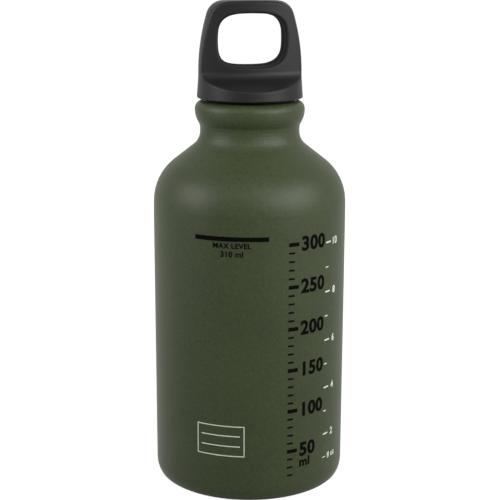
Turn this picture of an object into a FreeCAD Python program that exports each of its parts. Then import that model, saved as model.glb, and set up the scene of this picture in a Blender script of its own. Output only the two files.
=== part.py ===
import FreeCAD, Part
import math
import os

# Camping fuel bottle: aluminium bottle and press-and-turn screw cap with a carrying loop.
# Millimetres, +Z up along the bottle's axis, origin at the centre of the standing face.
# The loop's opening runs along Y.

os.makedirs("parts", exist_ok=True)
Vector = FreeCAD.Vector

# Shared clearances
running_clearance = 0.3  # between faces that turn or slide past each other
seat_gap = 0.05  # between faces that rest on each other
overrun = 1.0  # how far a cutting shape passes what it cuts
touch_tolerance = 0.001  # nearer than this, an edge lies on a face

# Bottle: body and base
body_radius = 34.0
body_wall = 1.1
base_wall = 1.6
base_ring_width = 4.5  # flat ring that the bottle stands on
base_dome_rise = 3.5
base_edge_radius = 1.2
base_taper_radius = 8.0
base_taper_turn = 28.0
base_inner_corner = 3.0

# Bottle: shoulder, neck and bead
shoulder_start = 95.4
shoulder_low_radius = 165.0
shoulder_low_turn = 1.9
shoulder_radius = 18.2
shoulder_turn = 50.1
waist_radius = 17.4
neck_wall = 3.4  # at the waist, down to the root of the thread
waist_arc_radius = 6.3
waist_land = 1.0
bead_projection = 1.8  # bead beyond the waist
bead_flank_radius = 4.2
bead_swell_radius = 8.1
bead_land = 0.4
bead_top_radius = 2.8
mouth_chamfer = 0.5

# Screw thread between neck and plug
thread_pitch = 3.2
thread_depth = 1.1
thread_root_width = 1.7
thread_crest_width = 0.9
thread_lead_in = 1.2
thread_root_sink = 0.25  # how far a ridge's root lies inside the wall it grows from
neck_thread_turns = 2.75
plug_thread_turns = 3.25

# Sealing ring
seal_thickness = 1.4
seal_width = 2.9
seal_edge_radius = 0.3

# Threaded plug
plug_depth = 16.7  # from the mouth down to the plug's closed end
plug_floor = 1.8
plug_wall = 3.0
plug_end_chamfer = 1.0
vent_width = 2.4  # slot across the thread that lets pressure out while the plug still holds
vent_depth = 0.4
vent_count = 2
flange_rim = 1.1
flange_land_rise = 1.5  # land above the flange's underside

# Drive teeth of plug and cap
tooth_count = 12
tooth_angle = 11.0
tooth_inset = 0.7  # from the plug's core out to the teeth
tooth_width = 1.8
tooth_height = 0.9
tooth_gap = 0.2  # between the two crowns of teeth while the cap is up

# Cap: skirt and dome
press_travel = 0.7
skirt_room = 0.8  # between the plug's flange and the skirt
skirt_wall = 1.85
skirt_draft = 4.3
skirt_draft_height = 5.8
skirt_foot_radius = 0.4
skirt_blend_radius = 30.0
dome_side_radius = 72.0
dome_corner_radius = 6.0
dome_crown_radius = 150.0
cap_height = 33.41
roof_wall = 1.6

# Cap: loop
loop_thickness = 17.0  # at its middle
loop_bow_radius = 39.0  # of its two bulging faces, which make its ends thinner
ledge_rim_height = 3.4  # front of the ledge above the skirt's foot
ledge_slope = 22.0
ledge_blend_radius = 3.0
loop_edge_radius = 0.9
hole_width = 23.2
hole_bar = 4.45  # bar over the hole
hole_sill = 1.4  # from the top of the ledge's blend up to the hole
hole_exponent = 3.2
hole_edge_radius = 0.85
hole_points = 32

# Cap: post that holds it on the plug
post_wall = 2.0
post_core_height = 2.0  # how far the post's bore runs on above the roof
collar_lip = 1.6  # collar beyond the post
collar_thickness = 2.0
post_length = 8.2  # from the plug's land down to the collar's lower face

# Retaining ring, thrust washer and return spring
ring_thickness = 1.0
ring_seat_depth = 0.8  # groove in the plug's core
ring_opening = 50.0
washer_thickness = 0.8
washer_width = 4.3
spring_wire = 1.0
spring_inset = 2.5  # from the washer's rim in to the middle of the wire
spring_turns = 4


class Outline:
    """A chain of lines and tangent arcs in the half plane of radius and height."""

    def __init__(self, r, z, heading):
        self.r = r
        self.z = z
        self.heading = heading
        self.edges = []

    def point(self):
        return Vector(self.r, 0, self.z)

    def line(self, length):
        start = self.point()
        self.r += length * math.cos(math.radians(self.heading))
        self.z += length * math.sin(math.radians(self.heading))
        self.edges.append(Part.LineSegment(start, self.point()).toShape())

    def line_to(self, r, z):
        start = self.point()
        self.r = r
        self.z = z
        self.edges.append(Part.LineSegment(start, self.point()).toShape())

    def arc(self, radius, turn):
        """Turns left by a positive angle and right by a negative one."""
        side = math.copysign(radius, turn)
        start = self.point()
        begin = math.radians(self.heading)
        centre_r = self.r - side * math.sin(begin)
        centre_z = self.z + side * math.cos(begin)

        def at(angle):
            return Vector(centre_r + side * math.sin(angle), 0, centre_z - side * math.cos(angle))

        middle = at(math.radians(self.heading + turn / 2))
        self.heading += turn
        end = at(math.radians(self.heading))
        self.r = end.x
        self.z = end.z
        self.edges.append(Part.Arc(start, middle, end).toShape())

    def revolved(self):
        face = Part.Face(Part.Wire(Part.__sortEdges__(self.edges)))
        return face.revolve(Vector(0, 0, 0), Vector(0, 0, 1), 360)


def ring(inner, outer, low, high):
    shape = Part.makeCylinder(outer, high - low, Vector(0, 0, low))
    if inner > 0:
        bore = Part.makeCylinder(inner, high - low + 2 * overrun, Vector(0, 0, low - overrun))
        shape = shape.cut(bore)
    return shape


def sector(inner, outer, low, high, angle, middle):
    """A stretch of a ring, centred on the angle called middle."""
    corners = [
        Vector(inner, 0, low),
        Vector(outer, 0, low),
        Vector(outer, 0, high),
        Vector(inner, 0, high),
        Vector(inner, 0, low),
    ]
    face = Part.Face(Part.makePolygon(corners))
    block = face.revolve(Vector(0, 0, 0), Vector(0, 0, 1), angle)
    block.rotate(Vector(0, 0, 0), Vector(0, 0, 1), middle - angle / 2)
    return block


def thread_ridge(root_radius, crest_radius, start, turns):
    """A right-handed ridge whose middle starts at the given height in the XZ plane."""
    outward = math.copysign(1, crest_radius - root_radius)
    foot = root_radius - outward * thread_root_sink
    slope = (thread_root_width - thread_crest_width) / thread_depth
    foot_half = (thread_root_width + slope * thread_root_sink) / 2
    crest_half = thread_crest_width / 2
    corners = [
        Vector(foot, 0, start - foot_half),
        Vector(crest_radius, 0, start - crest_half),
        Vector(crest_radius, 0, start + crest_half),
        Vector(foot, 0, start + foot_half),
        Vector(foot, 0, start - foot_half),
    ]
    path = Part.makeHelix(thread_pitch, turns * thread_pitch, root_radius)
    path.translate(Vector(0, 0, start))
    return Part.Wire(path.Edges).makePipeShell([Part.makePolygon(corners)], True, True)


def dome_arc(apex, radius):
    """Arc from the axis down to the standing ring, for the base's two faces."""
    half = radius / 2
    rise = base_dome_rise
    sphere = (radius * radius + rise * rise) / (2 * rise)
    drop = sphere - math.sqrt(sphere * sphere - half * half)
    return Part.Arc(
        Vector(radius, 0, apex - rise),
        Vector(half, 0, apex - drop),
        Vector(0, 0, apex),
    ).toShape()


# Heights and radii that several pieces share
shoulder_slope = shoulder_low_turn + shoulder_turn
taper_inset = base_taper_radius * (1 - math.cos(math.radians(base_taper_turn)))
edge_inset = base_edge_radius * math.cos(math.radians(base_taper_turn))
ring_outer_radius = body_radius - taper_inset - edge_inset
ring_inner_radius = ring_outer_radius - base_ring_width
bead_turn = math.degrees(math.acos(1 - bead_projection / (bead_flank_radius + bead_swell_radius)))


def bottle_outside():
    """From the standing ring up the wall, over the bead, to the inner edge of the mouth."""
    out = Outline(ring_inner_radius, 0, 0)
    out.line(base_ring_width)
    out.arc(base_edge_radius, 90 - base_taper_turn)
    out.arc(base_taper_radius, base_taper_turn)
    out.line(shoulder_start - out.z)
    out.arc(shoulder_low_radius, shoulder_low_turn)
    out.arc(shoulder_radius, shoulder_turn)
    waist_inset = waist_arc_radius * (1 - math.cos(math.radians(shoulder_slope)))
    out.line((out.r - waist_inset - waist_radius) / math.sin(math.radians(shoulder_slope)))
    out.arc(waist_arc_radius, -shoulder_slope)
    out.line(waist_land)
    out.arc(bead_flank_radius, -bead_turn)
    out.arc(bead_swell_radius, bead_turn)
    out.line(bead_land)
    out.arc(bead_top_radius, 90)
    return out


mouth_top = bottle_outside().z
thread_major_radius = waist_radius - neck_wall
mouth_inner_radius = thread_major_radius + mouth_chamfer
thread_minor_radius = thread_major_radius - thread_depth
plug_crest_radius = thread_major_radius - running_clearance
plug_shank_radius = thread_minor_radius - running_clearance
plug_core_radius = plug_shank_radius - plug_wall
neck_thread_end = mouth_top - thread_lead_in - thread_root_width / 2
neck_thread_start = neck_thread_end - neck_thread_turns * thread_pitch
plug_thread_start = neck_thread_start - thread_pitch / 2

seal_low = mouth_top + seat_gap
seal_high = seal_low + seal_thickness
seal_inner_radius = plug_shank_radius + running_clearance
seal_outer_radius = seal_inner_radius + seal_width
flange_low = seal_high + seat_gap
flange_land = flange_low + flange_land_rise
plug_low = mouth_top - plug_depth
core_floor = plug_low + plug_floor

tooth_inner_radius = plug_core_radius + tooth_inset
tooth_outer_radius = tooth_inner_radius + tooth_width
flange_land_radius = tooth_outer_radius + running_clearance
plug_tooth_top = flange_land + tooth_height
cap_tooth_low = plug_tooth_top + tooth_gap
foot_z = mouth_top + press_travel + running_clearance
cap_top = foot_z + cap_height
skirt_inner_radius = seal_outer_radius + skirt_room
skirt_radius = skirt_inner_radius + skirt_wall
collar_radius = plug_core_radius - running_clearance
post_radius = collar_radius - collar_lip
post_bore_radius = post_radius - post_wall
collar_low = flange_land - post_length
collar_top = collar_low + collar_thickness
ring_low = collar_top + seat_gap
ring_high = ring_low + ring_thickness
washer_high = collar_low - seat_gap
washer_low = washer_high - washer_thickness
washer_bore_radius = collar_radius - washer_width
spring_radius = collar_radius - spring_inset
ring_outer = plug_core_radius + ring_seat_depth - running_clearance
ring_bore = post_radius + running_clearance
face_y = loop_thickness / 2
ledge_fall = math.tan(math.radians(ledge_slope))
ledge_rim_z = foot_z + ledge_rim_height
ledge_corner_z = ledge_rim_z + (skirt_radius - face_y) * ledge_fall
ledge_blend = ledge_blend_radius * math.tan(math.radians((90 - ledge_slope) / 2))
ledge_top = ledge_corner_z + ledge_blend


def bottle_shell():
    out = bottle_outside()
    out.line_to(mouth_inner_radius, out.z)
    out.line_to(thread_major_radius, out.z - mouth_chamfer)
    # inner faces, walked up from the floor to meet the bore
    inner = Outline(ring_inner_radius, base_wall, 0)
    inner.line(body_radius - body_wall - base_inner_corner - ring_inner_radius)
    inner.arc(base_inner_corner, 90)
    inner.line(shoulder_start - inner.z)
    inner.arc(shoulder_low_radius - body_wall, shoulder_low_turn)
    inner.arc(shoulder_radius - body_wall, shoulder_turn)
    inner.line((inner.r - thread_major_radius) / math.sin(math.radians(shoulder_slope)))
    inner.line_to(thread_major_radius, mouth_top - mouth_chamfer)
    floor_apex = base_dome_rise + base_wall
    out.edges += inner.edges
    out.edges.append(dome_arc(base_dome_rise, ring_inner_radius))
    out.edges.append(dome_arc(floor_apex, ring_inner_radius))
    axis = Part.LineSegment(Vector(0, 0, base_dome_rise), Vector(0, 0, floor_apex))
    out.edges.append(axis.toShape())
    thread = thread_ridge(
        thread_major_radius, thread_minor_radius, neck_thread_start, neck_thread_turns
    )
    return out.revolved().fuse(thread)


def sealing_ring():
    shape = ring(seal_inner_radius, seal_outer_radius, seal_low, seal_high)
    return shape.makeFillet(seal_edge_radius, rim_edges(shape))


def rim_edges(shape):
    return [edge for edge in shape.Edges if isinstance(edge.Curve, Part.Circle)]


def threaded_plug():
    out = Outline(0, plug_low, 0)
    out.line(plug_shank_radius - plug_end_chamfer)
    out.line_to(plug_shank_radius, plug_low + plug_end_chamfer)
    out.line_to(plug_shank_radius, flange_low)
    out.line_to(seal_outer_radius, flange_low)
    out.line_to(seal_outer_radius, flange_low + flange_rim)
    out.line_to(flange_land_radius, flange_land)
    out.line_to(plug_core_radius, flange_land)
    out.line_to(plug_core_radius, core_floor)
    out.line_to(0, core_floor)
    out.line_to(0, plug_low)
    shape = out.revolved()
    groove_radius = plug_core_radius + ring_seat_depth
    groove = ring(0, groove_radius, ring_low - seat_gap, ring_high + seat_gap)
    shape = shape.cut(groove)
    thread = thread_ridge(
        plug_shank_radius, plug_crest_radius, plug_thread_start, plug_thread_turns
    )
    teeth = crown_of_teeth(flange_land - tooth_height, plug_tooth_top, 0)
    return shape.fuse([thread] + teeth).cut(vent_slots())


def vent_slots():
    """Upright slots across the plug's thread, from its end to just under the seal."""
    floor = plug_shank_radius - vent_depth
    depth = plug_crest_radius + overrun - floor
    height = seal_low - vent_width / 2 - plug_low + overrun
    slots = []
    for n in range(vent_count):
        slot = Part.makeBox(depth, vent_width, height, Vector(floor, -vent_width / 2, plug_low - overrun))
        slot.rotate(Vector(0, 0, 0), Vector(0, 0, 1), 90 + n * 360 / vent_count)
        slots.append(slot)
    return slots


def crown_of_teeth(low, high, first):
    pitch = 360 / tooth_count
    return [
        sector(tooth_inner_radius, tooth_outer_radius, low, high, tooth_angle, first + n * pitch)
        for n in range(tooth_count)
    ]


def return_spring():
    """Round wire along a coil that is drawn as two tangent arcs for each quarter turn."""
    wire = spring_wire / 2
    start = core_floor + seat_gap + wire
    climb = (washer_low - seat_gap - wire - start) / (2 * math.pi * spring_turns)
    print("return_spring gap between turns", round(2 * math.pi * climb - spring_wire, 2))

    def at(angle):
        x = spring_radius * math.cos(angle)
        y = spring_radius * math.sin(angle)
        return Vector(x, y, start + climb * angle)

    def way(angle):
        x = -spring_radius * math.sin(angle)
        y = spring_radius * math.cos(angle)
        return Vector(x, y, climb).normalize()

    angles = [n * math.pi / 2 for n in range(4 * spring_turns + 1)]
    edges = []
    for begin, end in zip(angles, angles[1:]):
        edges += two_arcs(at(begin), way(begin), at(end), way(end))
    section = Part.Wire(Part.makeCircle(wire, at(0), way(0)))
    return Part.Wire(edges).makePipeShell([section], True)


def two_arcs(start, start_way, end, end_way):
    """Two arcs that leave the start and reach the end along the given unit directions."""
    span = end - start
    ways = start_way + end_way
    along = span.dot(ways)
    bend = 2 * (start_way.dot(end_way) - 1)
    reach = (along - math.sqrt(along * along - bend * span.dot(span))) / bend
    first = start + start_way * reach
    second = end - end_way * reach
    joint = (first + second) / 2
    return [arc_under(start, first, joint), arc_under(joint, second, end)]


def arc_under(start, corner, end):
    """The arc that touches both legs of a corner at their ends, where the legs are alike."""
    weight = (end - start).Length / (2 * (corner - start).Length)
    middle = (start + end + corner * (2 * weight)) / (2 + 2 * weight)
    return Part.Arc(start, middle, end).toShape()


def thrust_washer():
    return ring(washer_bore_radius, collar_radius, washer_low, washer_high)


def retaining_ring():
    shape = ring(ring_bore, ring_outer, ring_low, ring_high)
    inner = ring_bore - overrun
    outer = ring_outer + overrun
    opening = sector(inner, outer, ring_low - overrun, ring_high + overrun, ring_opening, 0)
    return shape.cut(opening)


def cap_blank():
    """Solid of revolution: drafted skirt, bowed sides, rounded corner and crowned top."""
    out = Outline(0, foot_z, 0)
    foot_inset = skirt_foot_radius * math.cos(math.radians(skirt_draft))
    out.line(skirt_radius - foot_inset)
    out.arc(skirt_foot_radius, 90 + skirt_draft)
    out.line(skirt_draft_height / math.cos(math.radians(skirt_draft)))
    out.arc(skirt_blend_radius, -skirt_draft)
    side_r = out.r - dome_side_radius
    side_z = out.z
    crown_z = cap_top - dome_crown_radius
    corner = circles_meet(
        side_r,
        side_z,
        dome_side_radius - dome_corner_radius,
        0,
        crown_z,
        dome_crown_radius - dome_corner_radius,
    )
    side_turn = math.degrees(math.atan2(corner[1] - side_z, corner[0] - side_r))
    crown_turn = math.degrees(math.atan2(corner[0], corner[1] - crown_z))
    out.arc(dome_side_radius, side_turn)
    out.arc(dome_corner_radius, 90 - side_turn - crown_turn)
    out.arc(dome_crown_radius, crown_turn)
    out.line_to(0, foot_z)
    return out.revolved()


def circles_meet(r_a, z_a, radius_a, r_b, z_b, radius_b):
    """The outer of the two points where two circles of the half plane cross."""
    apart = math.hypot(r_b - r_a, z_b - z_a)
    along = (radius_a * radius_a - radius_b * radius_b + apart * apart) / (2 * apart)
    across = math.sqrt(radius_a * radius_a - along * along)
    unit_r = (r_b - r_a) / apart
    unit_z = (z_b - z_a) / apart
    return r_a + unit_r * along - unit_z * across, z_a + unit_z * along + unit_r * across


def ledge_cut(side):
    """What is cut away in front of the loop or behind it, side being -1 or 1.

    Its section turns about an upright axis, which gives the loop its bulging face.
    """
    far_y = skirt_radius + overrun
    arc_y = face_y + ledge_blend * math.cos(math.radians(ledge_slope))
    arc_z = ledge_corner_z - ledge_blend * math.sin(math.radians(ledge_slope))
    middle = math.radians(180 + (90 - ledge_slope) / 2)
    mid_y = face_y + ledge_blend_radius * (1 + math.cos(middle))
    mid_z = ledge_top + ledge_blend_radius * math.sin(middle)

    def at(y, z):
        return Vector(0, side * y, z)

    corners = [
        at(arc_y, arc_z),
        at(far_y, ledge_rim_z - (far_y - skirt_radius) * ledge_fall),
        at(far_y, cap_top + overrun),
        at(face_y, cap_top + overrun),
        at(face_y, ledge_top),
    ]
    edges = [Part.LineSegment(a, b).toShape() for a, b in zip(corners, corners[1:])]
    edges.append(Part.Arc(corners[-1], at(mid_y, mid_z), corners[0]).toShape())
    face = Part.Face(Part.Wire(edges))
    axis = Vector(0, side * (face_y - loop_bow_radius), 0)
    face.rotate(axis, Vector(0, 0, 1), -90)
    return face.revolve(axis, Vector(0, 0, 1), 180)


def loop_hole():
    """Superellipse through the loop, drawn as one closed curve."""
    top = cap_top - hole_bar
    hole_height = top - ledge_top - hole_sill
    middle_z = top - hole_height / 2
    power = 2 / hole_exponent
    print("loop hole", round(hole_width, 2), "by", round(hole_height, 2), "centre", round(middle_z, 2))

    def at(angle):
        x = math.copysign(abs(math.cos(angle)) ** power, math.cos(angle))
        z = math.copysign(abs(math.sin(angle)) ** power, math.sin(angle))
        return Vector(x * hole_width / 2, -loop_thickness, middle_z + z * hole_height / 2)

    points = [at(2 * math.pi * (n + 1 / 2) / hole_points) for n in range(hole_points)]
    curve = Part.BSplineCurve()
    curve.interpolate(Points=points, PeriodicFlag=True)
    face = Part.Face(Part.Wire(curve.toShape()))
    return face.extrude(Vector(0, 2 * loop_thickness, 0))


def roof_at(radius):
    """Height of the roof under the ledge, which runs at the ledge's slope."""
    return ledge_rim_z - roof_wall + (skirt_radius - radius) * ledge_fall


def cap_cavity():
    """Room under the cap for the plug's flange: straight skirt, roof that follows the ledge."""
    out = Outline(post_radius, foot_z - overrun, 0)
    out.line_to(skirt_inner_radius, foot_z - overrun)
    out.line_to(skirt_inner_radius, roof_at(skirt_inner_radius))
    out.line_to(post_radius, roof_at(post_radius))
    out.line_to(post_radius, foot_z - overrun)
    return out.revolved()


def cap_shell():
    shape = rounded_cap().cut(cap_cavity())
    post = ring(0, post_radius, collar_low, foot_z + overrun)
    collar = ring(0, collar_radius, collar_low, collar_top)
    teeth = crown_of_teeth(cap_tooth_low, roof_at(tooth_inner_radius), 360 / tooth_count / 2)
    shape = shape.fuse([post, collar] + teeth)
    bore_top = roof_at(post_radius) + post_core_height
    bore = ring(0, post_bore_radius, collar_low - overrun, bore_top)
    return shape.cut(bore).removeSplitter()


def rounded_cap():
    """The cap from outside: the blank, its two ledges and the loop's hole, with soft edges."""
    blank = cap_blank()
    shape = blank
    for side in (-1, 1):
        away = ledge_cut(side)
        shape = shape.cut(away)
        shape = shape.makeFillet(loop_edge_radius, crossing_edges(shape, blank, away))
    plain = shape
    hole = loop_hole()
    shape = shape.cut(hole)
    return shape.makeFillet(hole_edge_radius, crossing_edges(shape, plain, hole))


def crossing_edges(shape, first, second):
    """The edges of a cut shape along which the faces of two solids meet."""
    return [
        edge
        for edge in shape.Edges
        if edge.Length > touch_tolerance and lies_on(edge, first) and lies_on(edge, second)
    ]


def lies_on(edge, solid):
    middle = edge.valueAt((edge.FirstParameter + edge.LastParameter) / 2)
    return Part.Vertex(middle).distToShape(solid.Shells[0])[0] < touch_tolerance


pieces = {
    "bottle_shell": bottle_shell,
    "sealing_ring": sealing_ring,
    "threaded_plug": threaded_plug,
    "return_spring": return_spring,
    "thrust_washer": thrust_washer,
    "retaining_ring": retaining_ring,
    "cap_shell": cap_shell,
}

for name, make in pieces.items():
    shape = make()
    shape.exportStep(f"parts/{name}.step")
    box = shape.optimalBoundingBox()
    print(name, len(shape.Solids), shape.isValid(), round(shape.Volume, 1), box)
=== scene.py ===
import bmesh
import bpy
import math
import numpy as np
from mathutils import Matrix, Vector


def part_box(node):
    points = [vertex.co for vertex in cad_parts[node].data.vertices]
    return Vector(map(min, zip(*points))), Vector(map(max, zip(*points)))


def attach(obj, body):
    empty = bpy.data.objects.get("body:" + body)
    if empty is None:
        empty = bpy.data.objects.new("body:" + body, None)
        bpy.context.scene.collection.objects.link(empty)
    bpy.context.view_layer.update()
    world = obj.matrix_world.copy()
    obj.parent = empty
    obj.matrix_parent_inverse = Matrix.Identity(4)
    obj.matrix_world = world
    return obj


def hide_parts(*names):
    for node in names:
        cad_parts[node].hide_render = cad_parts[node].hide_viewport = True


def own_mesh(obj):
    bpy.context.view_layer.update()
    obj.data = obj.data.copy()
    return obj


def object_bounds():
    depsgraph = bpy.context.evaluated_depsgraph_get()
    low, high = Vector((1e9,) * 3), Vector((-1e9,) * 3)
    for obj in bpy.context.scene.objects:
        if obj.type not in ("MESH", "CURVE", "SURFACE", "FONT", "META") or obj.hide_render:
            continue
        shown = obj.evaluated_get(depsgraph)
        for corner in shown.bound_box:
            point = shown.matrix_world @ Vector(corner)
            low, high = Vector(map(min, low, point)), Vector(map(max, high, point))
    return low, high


# Camping fuel bottle: finishes, printed marks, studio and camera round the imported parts.
# The frame is in metres, sizes below are in millimetres unless their name says otherwise.

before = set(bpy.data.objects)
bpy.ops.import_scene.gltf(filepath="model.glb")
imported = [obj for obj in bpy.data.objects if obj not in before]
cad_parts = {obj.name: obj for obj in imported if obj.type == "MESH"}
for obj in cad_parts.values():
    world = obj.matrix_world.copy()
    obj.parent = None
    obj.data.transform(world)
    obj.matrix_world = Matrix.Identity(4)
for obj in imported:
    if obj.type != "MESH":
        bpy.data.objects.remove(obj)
cadLow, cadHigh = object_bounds()  # box of the bare parts
mm = 0.001
shellLow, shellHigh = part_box("bottle_shell")
bodyRadius = (shellHigh.y - shellLow.y) / 2 / mm
print("frame: body radius", round(bodyRadius, 2), "mm, height", round(cadHigh.z / mm, 2), "mm")


# Shared helpers

def hexColour(code):  # sRGB hex to linear RGBA
    srgb = np.array([int(code[i:i + 2], 16) for i in (1, 3, 5)]) / 255
    linear = np.where(srgb <= 0.04045, srgb / 12.92, ((srgb + 0.055) / 1.055) ** 2.4)
    return (*linear.tolist(), 1.0)


def addNode(tree, kind, inputs=None, **settings):  # one node with its settings, values and links
    node = tree.nodes.new(kind)
    for key, value in settings.items():
        setattr(node, key, value)
    for key, value in (inputs or {}).items():
        if isinstance(value, bpy.types.NodeSocket):
            tree.links.new(value, node.inputs[key])
        else:
            node.inputs[key].default_value = value
    return node


def newMaterial(name):
    material = bpy.data.materials.new(name)
    material.use_nodes = True
    material.node_tree.nodes.clear()
    return material, material.node_tree


def perMetre(sizeMm):  # texture scale whose features are about this size
    return 1 / (sizeMm * mm)


def meshObject(name, points, faces, material, smooth=False):
    mesh = bpy.data.meshes.new(name)
    mesh.from_pydata(points.tolist(), [], faces)
    mesh.polygons.foreach_set("use_smooth", np.full(len(mesh.polygons), smooth))
    mesh.materials.append(material)
    mesh.validate()
    piece = bpy.data.objects.new(name, mesh)
    bpy.context.scene.collection.objects.link(piece)
    return piece


def joined(parts):  # several (points, faces) as one
    starts = np.cumsum([0] + [len(points) for points, _ in parts])
    faces = [
        [int(i + start) for i in face]
        for start, (_, group) in zip(starts, parts) for face in group
    ]
    return np.concatenate([points for points, _ in parts]), faces


def carried(grid, ring):
    # faces of a grid whose rows are one closed profile carried along a path, which is a ring
    # or has its two ends capped
    rows, across = grid.shape[:2]
    row = np.arange(rows if ring else rows - 1)[:, None]
    col = np.arange(across)[None, :]
    nextRow = (row + 1) % rows
    nextCol = (col + 1) % across
    corners = [
        row * across + col, nextRow * across + col,
        nextRow * across + nextCol, row * across + nextCol,
    ]
    faces = np.stack(corners, axis=-1).reshape(-1, 4).tolist()
    if not ring:
        faces.append(list(range(across)))
        faces.append(list(range(rows * across - 1, (rows - 1) * across - 1, -1)))
    return grid.reshape(-1, 3), faces


# Finishes

noiseLook = {"fineDetail": 3.0, "broadDetail": 2.0, "gritty": 0.6}  # shared by the patterns below
powderCoatLook = {
    "deeper": "#101509",
    "paler": "#374025",
    "gritMm": 0.9,  # real grit is about 0.1, drawn coarser so that it shows
    "gritShare": 0.7,  # of the colour's variation, the rest is wide clouds
    "gritDepthMm": 0.07,
    "cloudMm": 24.0,
    "turnLineMm": 0.8,  # real marks are finer, drawn wide enough to show
    "turnFromMm": 114.0,  # turning marks start above the shoulder
    "turnFullMm": 124.0,
    "turnDepthMm": 0.14,
    "bumpStrength": 0.6,
    "roughness": 0.47,
    "specular": 0.195,
    "ior": 1.5,
    "metal": "#b9b8b4",
    "metalRoughness": 0.34,
    "seatRadiusMm": 16.2,
    "boreFromMm": 117.0,
}


def powderCoat(look):
    # Polyester powder coat baked on spun aluminium: olive, dry and finely grained, so highlights
    # spread wide and soft; the neck keeps faint turning rings. The bore and the seat of the seal
    # are masked off before coating and stay bright metal.
    material, tree = newMaterial("powder_coat_olive")
    place = addNode(tree, "ShaderNodeTexCoord").outputs["Object"]
    grit = addNode(tree, "ShaderNodeTexNoise", {
        "Vector": place, "Scale": perMetre(look["gritMm"]),
        "Detail": noiseLook["fineDetail"], "Roughness": noiseLook["gritty"]})
    cloud = addNode(tree, "ShaderNodeTexNoise", {
        "Vector": place, "Scale": perMetre(look["cloudMm"]), "Detail": noiseLook["broadDetail"]})
    blend = addNode(tree, "ShaderNodeMix", {
        0: look["gritShare"], 2: cloud.outputs["Fac"], 3: grit.outputs["Fac"]})
    olive = addNode(tree, "ShaderNodeMix", {
        0: blend.outputs[0], 6: hexColour(look["deeper"]), 7: hexColour(look["paler"]),
    }, data_type="RGBA")

    xyz = addNode(tree, "ShaderNodeSeparateXYZ", {"Vector": place})
    rings = addNode(tree, "ShaderNodeMath", {
        0: xyz.outputs["Z"], 1: perMetre(look["turnLineMm"])}, operation="MULTIPLY")
    turning = addNode(tree, "ShaderNodeTexNoise", {
        "W": rings.outputs[0], "Scale": 1.0, "Detail": noiseLook["broadDetail"],
    }, noise_dimensions="1D")
    onNeck = addNode(tree, "ShaderNodeMapRange", {
        "Value": xyz.outputs["Z"],
        "From Min": look["turnFromMm"] * mm, "From Max": look["turnFullMm"] * mm})
    turned = addNode(tree, "ShaderNodeMath", {
        0: turning.outputs["Fac"], 1: onNeck.outputs["Result"]}, operation="MULTIPLY")
    gritBump = addNode(tree, "ShaderNodeBump", {
        "Height": grit.outputs["Fac"], "Strength": look["bumpStrength"],
        "Distance": look["gritDepthMm"] * mm})
    turnBump = addNode(tree, "ShaderNodeBump", {
        "Height": turned.outputs[0], "Strength": look["bumpStrength"],
        "Distance": look["turnDepthMm"] * mm, "Normal": gritBump.outputs["Normal"]})

    flat = addNode(tree, "ShaderNodeVectorMath", {
        0: place, 1: (1.0, 1.0, 0.0)}, operation="MULTIPLY")
    reach = addNode(tree, "ShaderNodeVectorMath", {0: flat.outputs[0]}, operation="LENGTH")
    within = addNode(tree, "ShaderNodeMath", {
        0: reach.outputs["Value"], 1: look["seatRadiusMm"] * mm}, operation="LESS_THAN")
    above = addNode(tree, "ShaderNodeMath", {
        0: xyz.outputs["Z"], 1: look["boreFromMm"] * mm}, operation="GREATER_THAN")
    bare = addNode(tree, "ShaderNodeMath", {
        0: within.outputs[0], 1: above.outputs[0]}, operation="MULTIPLY")
    colour = addNode(tree, "ShaderNodeMix", {
        0: bare.outputs[0], 6: olive.outputs[2], 7: hexColour(look["metal"])}, data_type="RGBA")
    roughness = addNode(tree, "ShaderNodeMapRange", {
        "Value": bare.outputs[0], "To Min": look["roughness"], "To Max": look["metalRoughness"]})
    paint = addNode(tree, "ShaderNodeBsdfPrincipled", {
        "Base Color": colour.outputs[2], "Metallic": bare.outputs[0],
        "Roughness": roughness.outputs["Result"], "IOR": look["ior"],
        "Specular IOR Level": look["specular"], "Normal": turnBump.outputs["Normal"]})
    addNode(tree, "ShaderNodeOutputMaterial", {"Surface": paint.outputs["BSDF"]})
    return material


loopHole = {"widthMm": 23.2, "heightMm": 18.12, "middleMm": 156.63, "exponent": 3.2}  # superellipse
mouldedSkin = {"grainStrength": 0.5, "roughnessSpread": 0.05}  # alike on the three below
capPlasticLook = {
    "colour": "#0f0f0f", "paler": "#151515", "ior": 1.49, "specular": 0.15,
    "roughness": 0.46, "grainMm": 0.4, "grainDepthMm": 0.012,
    # the hole wall's darker colour is painted shade in the recess; its roughness is the real dull
    # wall
    "hole": loopHole, "holeRoughness": 0.95, "holeColour": "#0c0c0c", "holeReach": (1.04, 1.2),
}
plugPlasticLook = {
    "colour": "#121213", "paler": "#171718", "ior": 1.48, "specular": 0.12,
    "roughness": 0.4, "grainMm": 0.8, "grainDepthMm": 0.008,
}
sealRubberLook = {
    "colour": "#090909", "paler": "#0e0e0e", "ior": 1.52, "specular": 0.05,
    "roughness": 0.72, "grainMm": 0.3, "grainDepthMm": 0.015,
}


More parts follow.
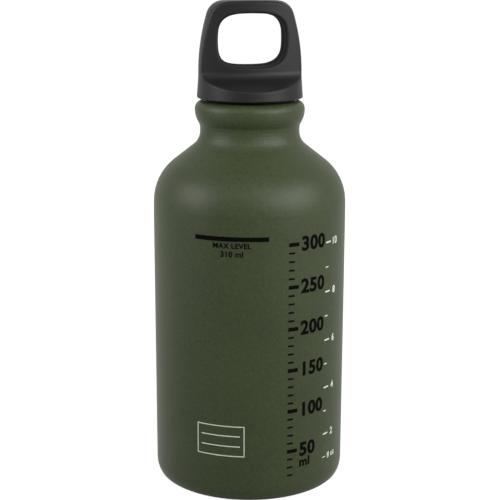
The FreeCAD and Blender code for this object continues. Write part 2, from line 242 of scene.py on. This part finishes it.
def nearHole(tree, place, look):
    # 1 on the hole's wall, 0 off it: the superellipse's own sum of powers, which is 1 on the wall
    xyz = addNode(tree, "ShaderNodeSeparateXYZ", {"Vector": place})
    level = addNode(tree, "ShaderNodeMath", {
        0: xyz.outputs["Z"], 1: look["hole"]["middleMm"] * mm}, operation="SUBTRACT")
    powers = []
    for distance, size in ((xyz.outputs["X"], "widthMm"), (level.outputs[0], "heightMm")):
        away = addNode(tree, "ShaderNodeMath", {0: distance}, operation="ABSOLUTE")
        share = addNode(tree, "ShaderNodeMath", {
            0: away.outputs[0], 1: look["hole"][size] / 2 * mm}, operation="DIVIDE")
        power = addNode(tree, "ShaderNodeMath", {
            0: share.outputs[0], 1: look["hole"]["exponent"]}, operation="POWER")
        powers.append(power.outputs[0])
    total = addNode(tree, "ShaderNodeMath", {0: powers[0], 1: powers[1]}, operation="ADD")
    nearest, farthest = look["holeReach"]
    return addNode(tree, "ShaderNodeMapRange", {
        "Value": total.outputs[0], "From Min": nearest, "From Max": farthest,
        "To Min": 1.0, "To Max": 0.0}).outputs["Result"]


def mouldedBlack(name, look):
    # Moulded black polymers. Cap: polypropylene from a spark-eroded tool, near-black with a very
    # fine dry grain, so its edges take a soft satin line; the slides that form its hole leave the
    # wall there coarse and dull, and its colour is darkened there as painted shade. Plug: acetal,
    # harder and a little greyer, with a smoother skin.
    # Seal: nitrile rubber, dull, with no clear highlight.
    material, tree = newMaterial(name)
    place = addNode(tree, "ShaderNodeTexCoord").outputs["Object"]
    grain = addNode(tree, "ShaderNodeTexNoise", {  # coarser than the real 0.05 mm grain, to show
        "Vector": place, "Scale": perMetre(look["grainMm"]), "Detail": noiseLook["fineDetail"]})
    colour = addNode(tree, "ShaderNodeMix", {
        0: grain.outputs["Fac"], 6: hexColour(look["colour"]), 7: hexColour(look["paler"]),
    }, data_type="RGBA")
    skin = addNode(tree, "ShaderNodeMapRange", {
        "Value": grain.outputs["Fac"],
        "To Min": look["roughness"] - mouldedSkin["roughnessSpread"],
        "To Max": look["roughness"] + mouldedSkin["roughnessSpread"]})
    bump = addNode(tree, "ShaderNodeBump", {
        "Height": grain.outputs["Fac"], "Strength": mouldedSkin["grainStrength"],
        "Distance": look["grainDepthMm"] * mm})
    shade, dullness = colour.outputs[2], skin.outputs["Result"]
    if "hole" in look:
        onWall = nearHole(tree, place, look)
        # painted shade: the hole's wall takes a darker colour than the rest of the cap
        shade = addNode(tree, "ShaderNodeMix", {
            0: onWall, 6: shade, 7: hexColour(look["holeColour"])}, data_type="RGBA").outputs[2]
        dullness = addNode(tree, "ShaderNodeMix", {
            0: onWall, 2: dullness, 3: look["holeRoughness"]}).outputs[0]
    plastic = addNode(tree, "ShaderNodeBsdfPrincipled", {
        "Base Color": shade, "Roughness": dullness, "IOR": look["ior"],
        "Specular IOR Level": look["specular"], "Normal": bump.outputs["Normal"]})
    addNode(tree, "ShaderNodeOutputMaterial", {"Surface": plastic.outputs["BSDF"]})
    return material


springSteelLook = {
    "colour": "#9c9da0", "paler": "#b4b5b7", "roughness": 0.3, "roughnessSpread": 0.06,
    "drawLineMm": (3.0, 3.0, 0.15), "drawDepthMm": 0.004,  # long round the coil, fine across it
    "drawStrength": 0.4,
}


def drawnSteel(look):
    # Spring steel, cold drawn and bright: grey metal whose fine draw lines run round each piece
    # and break its highlights into threads.
    material, tree = newMaterial("spring_steel_drawn")
    place = addNode(tree, "ShaderNodeTexCoord").outputs["Object"]
    stretch = addNode(tree, "ShaderNodeMapping", {
        "Vector": place, "Scale": tuple(perMetre(size) for size in look["drawLineMm"])})
    lines = addNode(tree, "ShaderNodeTexNoise", {
        "Vector": stretch.outputs[0], "Scale": 1.0, "Detail": noiseLook["broadDetail"]})
    colour = addNode(tree, "ShaderNodeMix", {
        0: lines.outputs["Fac"], 6: hexColour(look["colour"]), 7: hexColour(look["paler"]),
    }, data_type="RGBA")
    bump = addNode(tree, "ShaderNodeBump", {
        "Height": lines.outputs["Fac"], "Strength": look["drawStrength"],
        "Distance": look["drawDepthMm"] * mm})
    polish = addNode(tree, "ShaderNodeMapRange", {
        "Value": lines.outputs["Fac"],
        "To Min": look["roughness"] - look["roughnessSpread"],
        "To Max": look["roughness"] + look["roughnessSpread"]})
    steel = addNode(tree, "ShaderNodeBsdfPrincipled", {
        "Base Color": colour.outputs[2], "Metallic": 1.0, "Roughness": polish.outputs["Result"],
        "Normal": bump.outputs["Normal"]})
    addNode(tree, "ShaderNodeOutputMaterial", {"Surface": steel.outputs["BSDF"]})
    return material


inkSkin = {"speckMm": 0.5, "speckStrength": 0.4, "ior": 1.5}  # alike on both inks
blackInkLook = {"colour": "#050505", "paler": "#0b0b0a", "roughness": 0.75, "specular": 0.01}
paleInkLook = {"colour": "#a9ada2", "paler": "#c3c6bc", "roughness": 0.55, "specular": 0.2}


def screenInk(name, look):
    # Two-part epoxy screen ink on the coat: flat and dull, a little uneven where the coat's grit
    # shows through it.
    material, tree = newMaterial(name)
    place = addNode(tree, "ShaderNodeTexCoord").outputs["Object"]
    speck = addNode(tree, "ShaderNodeTexNoise", {
        "Vector": place, "Scale": perMetre(inkSkin["speckMm"]),
        "Detail": noiseLook["fineDetail"], "Roughness": noiseLook["gritty"]})
    colour = addNode(tree, "ShaderNodeMix", {
        0: speck.outputs["Fac"], 6: hexColour(look["colour"]), 7: hexColour(look["paler"]),
    }, data_type="RGBA")
    bump = addNode(tree, "ShaderNodeBump", {
        "Height": speck.outputs["Fac"], "Strength": inkSkin["speckStrength"],
        "Distance": powderCoatLook["gritDepthMm"] * mm})
    ink = addNode(tree, "ShaderNodeBsdfPrincipled", {
        "Base Color": colour.outputs[2], "Roughness": look["roughness"], "IOR": inkSkin["ior"],
        "Specular IOR Level": look["specular"], "Normal": bump.outputs["Normal"]})
    addNode(tree, "ShaderNodeOutputMaterial", {"Surface": ink.outputs["BSDF"]})
    return material


blackPlastic = mouldedBlack("polypropylene_black", capPlasticLook)
blackInk = screenInk("epoxy_ink_black", blackInkLook)
paleInk = screenInk("epoxy_ink_pale_grey", paleInkLook)
springSteel = drawnSteel(springSteelLook)
finishes = {
    "bottle_shell": powderCoat(powderCoatLook),
    "cap_shell": blackPlastic,
    "threaded_plug": mouldedBlack("acetal_black", plugPlasticLook),
    "sealing_ring": mouldedBlack("nitrile_rubber", sealRubberLook),
    "thrust_washer": springSteel,
    "retaining_ring": springSteel,
}
for node, finish in finishes.items():
    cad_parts[node].material_slots[0].material = finish
print("finishes:", len(finishes), "nodes")


# Printed marks: drawn flat in millimetres, x along the barrel from its front, y up, z out of it,
# then wrapped round the barrel

inkFilm = {"frontMm": 0.08, "backMm": -0.12, "stepMm": 0.8}  # the back is sunk in the coat
letterShape = {"depth": 0.5, "curveSteps": 4, "weld": 0.0001, "spread": 2.0}  # in the font's units


def alongBarrel(degrees):  # arc length from the barrel's front
    return math.radians(degrees) * bodyRadius


def inkBar(left, right, low, high):
    # a rectangle of film: its upright section carried from left to right
    steps = max(2, math.ceil((right - left) / inkFilm["stepMm"]) + 1)
    grid = np.empty((steps, 4, 3))
    grid[..., 0] = np.linspace(left, right, steps)[:, None]
    grid[..., 1] = [low, low, high, high]
    grid[..., 2] = [inkFilm["backMm"], inkFilm["frontMm"], inkFilm["frontMm"], inkFilm["backMm"]]
    return carried(grid, ring=False)


def inkText(words, place, level, tall, weight, align):  # filled letters of a given height
    letters = bpy.data.curves.new("letters", "FONT")
    letters.body = words
    letters.align_x = align
    letters.extrude = letterShape["depth"]
    letters.offset = weight
    letters.space_character = 1.0 + letterShape["spread"] * weight  # bolder letters stand wider apart
    letters.resolution_u = letterShape["curveSteps"]
    holder = bpy.data.objects.new("letters", letters)
    mesh = bpy.data.meshes.new_from_object(holder)
    solid = bmesh.new()
    solid.from_mesh(mesh)
    bmesh.ops.remove_doubles(solid, verts=solid.verts, dist=letterShape["weld"])
    bmesh.ops.recalc_face_normals(solid, faces=solid.faces)
    solid.to_mesh(mesh)
    solid.free()
    points = np.empty(3 * len(mesh.vertices))
    mesh.vertices.foreach_get("co", points)
    points = points.reshape(-1, 3)
    faces = [list(polygon.vertices) for polygon in mesh.polygons]
    bpy.data.objects.remove(holder)
    bpy.data.curves.remove(letters)
    bpy.data.meshes.remove(mesh)
    low, high = points[:, 1].min(), points[:, 1].max()
    scale = tall / (high - low)
    film = np.where(points[:, 2] > 0, inkFilm["frontMm"], inkFilm["backMm"])
    return np.stack([
        place + scale * points[:, 0],
        level + scale * (points[:, 1] - (low + high) / 2),
        film,
    ], axis=1), faces


def printed(name, parts, ink):  # flat x becomes an angle round the barrel, z adds to its radius
    points, faces = joined(parts)
    angle = points[:, 0] / bodyRadius
    reach = (bodyRadius + points[:, 2]) * mm
    wrapped = np.stack([reach * np.sin(angle), -reach * np.cos(angle), points[:, 1] * mm], axis=1)
    piece = meshObject(name, wrapped, faces, ink)
    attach(piece, "bottle")
    return piece


fillMark = {
    "fromDeg": -39.1, "toDeg": 4.0, "lowMm": 92.74, "highMm": 94.27,
    "levelMm": 93.75, "levelMl": 309.0, "mlPerMm": 3.4005,
    "wordsDeg": -17.0, "wordWeight": 0.024, "align": "CENTER",
    "words": (("MAX LEVEL", 91.25, 1.85), ("310 ml", 88.4, 2.05)),  # words, height, letter height
}


def fillLine(look):  # a thick line at the fill level, with words under it
    left, right = alongBarrel(look["fromDeg"]), alongBarrel(look["toDeg"])
    parts = [inkBar(left, right, look["lowMm"], look["highMm"])]
    place = alongBarrel(look["wordsDeg"])
    for words, level, tall in look["words"]:
        parts.append(inkText(words, place, level, tall, look["wordWeight"], look["align"]))
    return parts


printed("ink_fill_mark", fillLine(fillMark), blackInk)

millilitreScale = {
    "fromDeg": 15.9, "longDeg": 6.4, "shortDeg": 3.6, "longThickMm": 1.3, "shortThickMm": 0.6,
    "lowest": 20, "highest": 300, "step": 10, "longEvery": 50, "mlEach": 1.0,
    "numberDeg": 23.9, "numberMm": 5.2, "numberWeight": 0.035, "align": "LEFT",
    "unit": "ml", "unitAt": 34, "unitMm": 3.4, "unitWeight": 0.03,
}
ounceScale = {
    "fromDeg": 43.0, "longDeg": 4.6, "shortDeg": 2.6, "longThickMm": 0.5, "shortThickMm": 0.35,
    "lowest": 1, "highest": 10, "step": 1, "longEvery": 2, "mlEach": 29.57,
    "numberDeg": 52.0, "numberMm": 2.6, "numberWeight": 0.02, "align": "CENTER",
    "unit": "fl oz", "unitAt": 1, "unitMm": 2.2, "unitWeight": 0.02,
}


def heightOf(millilitres):
    # fill level: the fill mark's own level, less the volume under it over the inside's section
    return fillMark["levelMm"] - (fillMark["levelMl"] - millilitres) / fillMark["mlPerMm"]


def tick(look, level, isLong):  # one graduation line
    start = alongBarrel(look["fromDeg"])
    length = alongBarrel(look["longDeg"] if isLong else look["shortDeg"])
    half = (look["longThickMm"] if isLong else look["shortThickMm"]) / 2
    return inkBar(start, start + length, level - half, level + half)


def volumeScale(look):  # graduation lines, numbers beside the long ones, and the unit's name
    place = alongBarrel(look["numberDeg"])
    parts = []
    for count in range(look["lowest"], look["highest"] + 1, look["step"]):
        level = heightOf(count * look["mlEach"])
        isLong = count % look["longEvery"] == 0
        parts.append(tick(look, level, isLong))
        if isLong:
            parts.append(inkText(
                str(count), place, level, look["numberMm"], look["numberWeight"], look["align"]))
    level = heightOf(look["unitAt"] * look["mlEach"])
    parts.append(inkText(
        look["unit"], place, level, look["unitMm"], look["unitWeight"], look["align"]))
    return parts


printed("ink_millilitre_scale", volumeScale(millilitreScale), blackInk)
printed("ink_ounce_scale", volumeScale(ounceScale), paleInk)

writingPanel = {
    "fromDeg": -38.4, "toDeg": -9.55, "lowMm": 16.7, "highMm": 27.8, "lineMm": 0.3,
    "ruleCount": 2, "ruleInsetMm": 1.6,
}


def inkFrame(left, right, low, high, line):
    # a line round a rectangle: the film's section, from the outer to the inner rectangle, carried
    # round the four sides with its corners mitred
    outer = np.array([(left, low), (right, low), (right, high), (left, high)])
    inner = outer + line * np.array([(1, 1), (-1, 1), (-1, -1), (1, -1)])
    steps = math.ceil((right - left) / inkFilm["stepMm"])
    share = np.linspace(0, 1, steps, endpoint=False)[None, :, None]
    rings = [
        (corners[:, None] + share * (np.roll(corners, -1, axis=0) - corners)[:, None]).reshape(-1, 2)
        for corners in (outer, inner)
    ]
    grid = np.empty((4 * steps, 4, 3))
    grid[:, :2, :2] = rings[0][:, None]
    grid[:, 2:, :2] = rings[1][:, None]
    grid[..., 2] = [inkFilm["backMm"], inkFilm["frontMm"], inkFilm["frontMm"], inkFilm["backMm"]]
    return carried(grid, ring=True)


def ruledPanel(look):  # a framed panel with ruled lines in it
    left, right = alongBarrel(look["fromDeg"]), alongBarrel(look["toDeg"])
    low, high, line = look["lowMm"], look["highMm"], look["lineMm"]
    inset = look["ruleInsetMm"]
    gap = (high - low) / (look["ruleCount"] + 1)
    parts = [inkFrame(left, right, low, high, line)]
    for n in range(look["ruleCount"]):
        level = low + gap * (n + 1)
        parts.append(inkBar(left + inset, right - inset, level - line / 2, level + line / 2))
    return parts


printed("ink_writing_panel", ruledPanel(writingPanel), paleInk)
print("printed marks: fill mark, two scales, writing panel")


# Mould line in the loop's hole

mouldLine = {"radiusMm": 0.28, "sunkMm": 0.1, "pathSteps": 256, "profileSteps": 12}


def partingRidge(look, hole, plastic):
    # the hole's superellipse is the path; the profile is a small circle in the plane of the
    # path's outward normal and Y, with its middle sunk behind the wall
    turn = np.linspace(0, 2 * np.pi, look["pathSteps"], endpoint=False)
    power = 2 / hole["exponent"]
    x = np.sign(np.cos(turn)) * np.abs(np.cos(turn)) ** power
    z = np.sign(np.sin(turn)) * np.abs(np.sin(turn)) ** power
    halfWide, halfTall = hole["widthMm"] / 2, hole["heightMm"] / 2
    outX = np.sign(x) * np.abs(x) ** (hole["exponent"] - 1) / halfWide
    outZ = np.sign(z) * np.abs(z) ** (hole["exponent"] - 1) / halfTall
    size = np.hypot(outX, outZ)
    outX, outZ = outX / size, outZ / size
    around = np.linspace(0, 2 * np.pi, look["profileSteps"], endpoint=False)
    out = look["sunkMm"] + look["radiusMm"] * np.cos(around)[None, :]
    grid = np.empty((look["pathSteps"], look["profileSteps"], 3))
    grid[..., 0] = (halfWide * x)[:, None] + outX[:, None] * out
    grid[..., 1] = -look["radiusMm"] * np.sin(around)[None, :]
    grid[..., 2] = hole["middleMm"] + (halfTall * z)[:, None] + outZ[:, None] * out
    points, faces = carried(grid * mm, ring=True)
    piece = meshObject("mould_line", points, faces, plastic, smooth=True)
    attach(piece, "cap")


partingRidge(mouldLine, loopHole, blackPlastic)
print("mould line: done")


# Return spring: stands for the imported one, because it shortens when the cap is pressed

coilLook = {"wireMm": 1.0, "turns": 4, "stepsPerTurn": 48, "profileSteps": 14}


def returnCoil(look, steel):
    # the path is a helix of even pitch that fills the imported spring's box; the profile is a circle
    # in the plane of the path's outward and upward normals
    low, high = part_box("return_spring")
    wire = look["wireMm"] / 2 * mm
    reach = (high.x - low.x) / 2 - wire
    turn = np.linspace(0, 2 * np.pi * look["turns"], look["turns"] * look["stepsPerTurn"] + 1)
    climb = (high.z - low.z - 2 * wire) / turn[-1]
    outward = np.stack([np.cos(turn), np.sin(turn), np.zeros_like(turn)], axis=1)
    ahead = np.stack([
        -reach * np.sin(turn), reach * np.cos(turn), np.full_like(turn, climb)], axis=1)
    upward = np.cross(outward, ahead)
    upward /= np.linalg.norm(upward, axis=1, keepdims=True)
    path = reach * outward
    path[:, 2] = low.z + wire + climb * turn
    around = np.linspace(0, 2 * np.pi, look["profileSteps"], endpoint=False)[None, :, None]
    profile = np.cos(around) * outward[:, None] + np.sin(around) * upward[:, None]
    points, faces = carried(path[:, None] + wire * profile, ring=False)
    coil = meshObject("return_coil", points, faces, steel, smooth=True)
    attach(coil, "plug")
    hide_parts("return_spring")
    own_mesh(coil)


returnCoil(coilLook, springSteel)


# Studio

stageLook = {
    "floorRadiusMm": 14000.0, "rimSteps": 96,
    "floorColour": "#6c6c6c",
    "nearGlow": 0.87, "nearMm": 100.0,
    "farGlow": 1.0, "farMm": 450.0,
    "backdrop": "#ffffff",
    "ambient": 0.2,
}
lamps = {  # azimuth is from the camera's own direction, to its right
    "key_right": {
        "azimuthDeg": 54.0, "elevationDeg": 27.5, "distanceMm": 420.0,
        "sizeMm": (420.0, 210.0), "watts": 2.65,
    },
    "fill_right": {
        "azimuthDeg": 56.0, "elevationDeg": 6.0, "distanceMm": 500.0,
        "sizeMm": (250.0, 90.0), "watts": 0.43,
    },
    "key_left": {
        "azimuthDeg": -69.0, "elevationDeg": 26.5, "distanceMm": 420.0,
        "sizeMm": (270.0, 210.0), "watts": 1.58,
    },
    "fill_left": {
        "azimuthDeg": -66.0, "elevationDeg": 6.0, "distanceMm": 500.0,
        "sizeMm": (220.0, 90.0), "watts": 0.29,
    },
    "front": {
        "azimuthDeg": 4.0, "elevationDeg": 42.0, "distanceMm": 500.0,
        "sizeMm": (300.0, 130.0), "watts": 0.5,
    },
    "back": {  # soft light for the far side, with no bright edge round the front
        "azimuthDeg": 180.0, "elevationDeg": 24.0, "distanceMm": 600.0,
        "sizeMm": (340.0, 220.0), "watts": 2.0, "inGloss": False,
    },
}
cameraView = {
    "distanceMm": 428.4,  # from the bottle's axis
    "heightMm": 184.31,  # above the standing face
    "azimuthDeg": -7.0,
    "pitchDeg": 13.438,
    "aimDeg": -0.028,
    "rollDeg": 0.16,
    "lensMm": 88.4,
    "sensorMm": 36.0,
    "nearestMm": 10.0,
    "farthestMm": 40000.0,
}


def seenDirectly(tree):  # 1 for camera, glossy and transmission rays
    path = addNode(tree, "ShaderNodeLightPath")
    mirror = addNode(tree, "ShaderNodeMath", {
        0: path.outputs["Is Camera Ray"], 1: path.outputs["Is Glossy Ray"]}, operation="MAXIMUM")
    return addNode(tree, "ShaderNodeMath", {
        0: mirror.outputs[0], 1: path.outputs["Is Transmission Ray"],
    }, operation="MAXIMUM").outputs[0]


def paleFloor(look):
    # matte floor that takes the object's shadow; a glow, stronger far off, brings it up to white
    material, tree = newMaterial("studio_floor")
    place = addNode(tree, "ShaderNodeTexCoord").outputs["Object"]
    reach = addNode(tree, "ShaderNodeVectorMath", {0: place}, operation="LENGTH")
    strength = addNode(tree, "ShaderNodeMapRange", {
        "Value": reach.outputs["Value"],
        "From Min": look["nearMm"] * mm, "From Max": look["farMm"] * mm,
        "To Min": look["nearGlow"], "To Max": look["farGlow"]})
    matte = addNode(tree, "ShaderNodeBsdfDiffuse", {"Color": hexColour(look["floorColour"])})
    glow = addNode(tree, "ShaderNodeEmission", {"Strength": strength.outputs["Result"]})
    lit = addNode(tree, "ShaderNodeAddShader", {0: matte.outputs[0], 1: glow.outputs[0]})
    shown = addNode(tree, "ShaderNodeMixShader", {
        0: seenDirectly(tree), 1: matte.outputs[0], 2: lit.outputs[0]})
    addNode(tree, "ShaderNodeOutputMaterial", {"Surface": shown.outputs[0]})
    turn = np.linspace(0, 2 * np.pi, look["rimSteps"], endpoint=False)
    rim = look["floorRadiusMm"] * mm
    points = np.stack([rim * np.cos(turn), rim * np.sin(turn), np.zeros_like(turn)], axis=1)
    floor = meshObject("studio_floor", points, [list(range(len(turn)))], material)


def studioWorld(look):
    world = bpy.data.worlds.new("studio_world")
    world.use_nodes = True
    tree = world.node_tree
    tree.nodes.clear()
    backdrop = hexColour(look["backdrop"])
    white = addNode(tree, "ShaderNodeBackground", {"Color": backdrop, "Strength": 1.0})
    soft = addNode(tree, "ShaderNodeBackground", {"Color": backdrop, "Strength": look["ambient"]})
    shown = addNode(tree, "ShaderNodeMixShader", {
        0: seenDirectly(tree), 1: soft.outputs[0], 2: white.outputs[0]})
    addNode(tree, "ShaderNodeOutputWorld", {"Surface": shown.outputs[0]})
    bpy.context.scene.world = world


def softBox(name, look, view):
    lamp = bpy.data.lights.new(name, "AREA")
    lamp.shape = "RECTANGLE"
    lamp.size, lamp.size_y = (side * mm for side in look["sizeMm"])
    lamp.energy = look["watts"]
    box = bpy.data.objects.new(name, lamp)
    box.visible_glossy = look.get("inGloss", True)
    bpy.context.scene.collection.objects.link(box)
    turn = Matrix.Rotation(math.radians(view["azimuthDeg"] + look["azimuthDeg"]), 4, "Z")
    lift = Matrix.Rotation(math.radians(90 - look["elevationDeg"]), 4, "X")
    middle = Matrix.Translation((0, 0, cadHigh.z / 2))
    box.matrix_world = middle @ turn @ lift @ Matrix.Translation((0, 0, look["distanceMm"] * mm))


def photoCamera(view):
    lens = bpy.data.cameras.new("camera")
    lens.lens = view["lensMm"]
    lens.sensor_width = view["sensorMm"]
    lens.clip_start = view["nearestMm"] * mm
    lens.clip_end = view["farthestMm"] * mm
    camera = bpy.data.objects.new("camera", lens)
    bpy.context.scene.collection.objects.link(camera)
    swing = Matrix.Rotation(math.radians(view["azimuthDeg"]), 4, "Z")
    back = Matrix.Translation((0, -view["distanceMm"] * mm, view["heightMm"] * mm))
    aim = Matrix.Rotation(math.radians(view["aimDeg"]), 4, "Z")
    pitch = Matrix.Rotation(math.radians(90 - view["pitchDeg"]), 4, "X")
    roll = Matrix.Rotation(math.radians(view["rollDeg"]), 4, "Z")
    camera.matrix_world = swing @ back @ aim @ pitch @ roll
    bpy.context.scene.camera = camera


paleFloor(stageLook)
studioWorld(stageLook)
for lampName, lampLook in lamps.items():
    softBox(lampName, lampLook, cameraView)
photoCamera(cameraView)
bpy.context.scene.view_settings.view_transform = "Standard"
print("studio: floor, world,", len(lamps), "lamps, camera")
